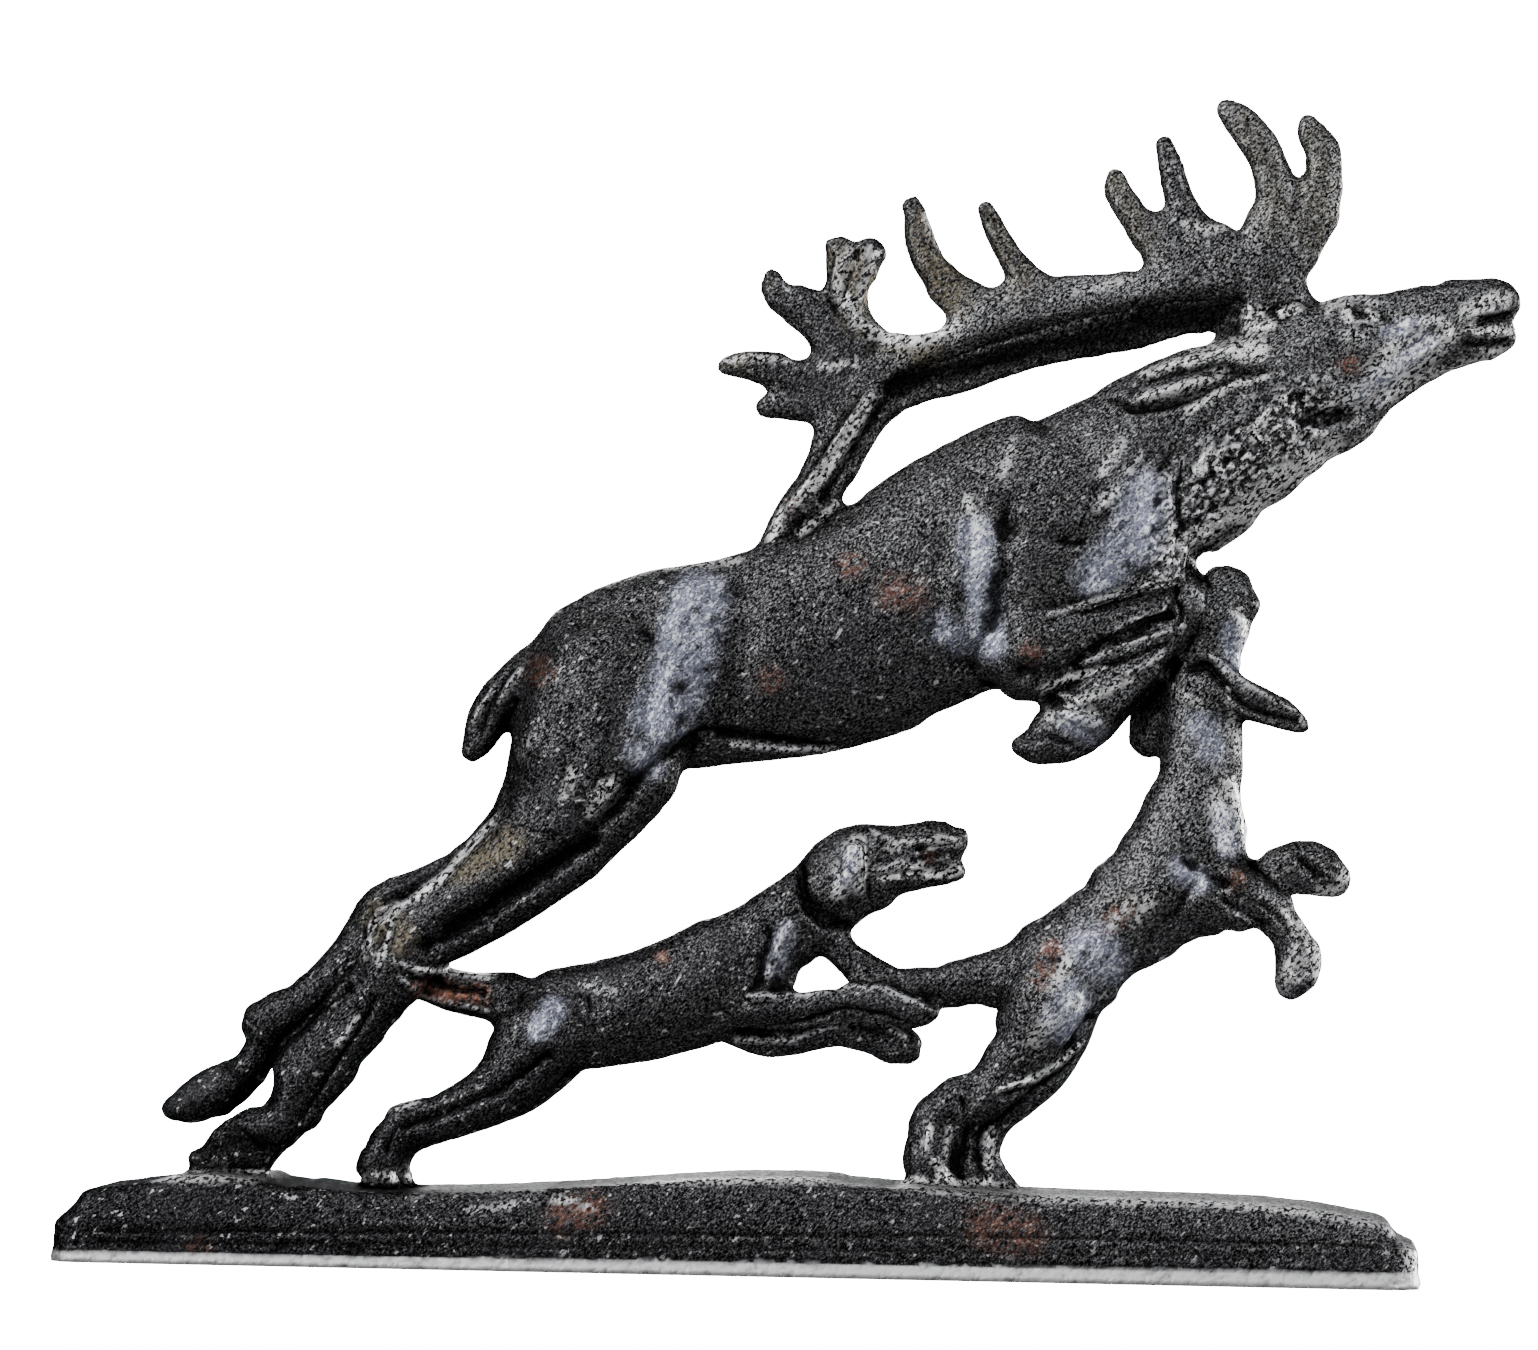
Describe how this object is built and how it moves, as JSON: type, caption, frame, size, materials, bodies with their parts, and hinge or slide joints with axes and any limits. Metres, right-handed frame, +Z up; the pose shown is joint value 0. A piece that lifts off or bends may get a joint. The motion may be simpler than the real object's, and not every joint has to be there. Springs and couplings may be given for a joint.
{
  "type": "deer and hounds sculpture",
  "caption": "Cast iron group of a leaping stag with laid-back antlers and hounds running below and rearing at its chest, on a long low moulded plinth.",
  "frame": {"origin": "middle of the plinth's underside, on the surface that the group stands on", "axes": "+X along the group towards the stag's head, +Y from the shown side to the back, +Z up"},
  "size_m": [0.3766, 0.058, 0.3067],
  "materials": {
    "blackened_iron": "blackened, worn, low sheen with rust patches"
  },
  "bodies": {
    "root": {"deer_and_hounds": "blackened_iron"}
  },
  "joints": []
}
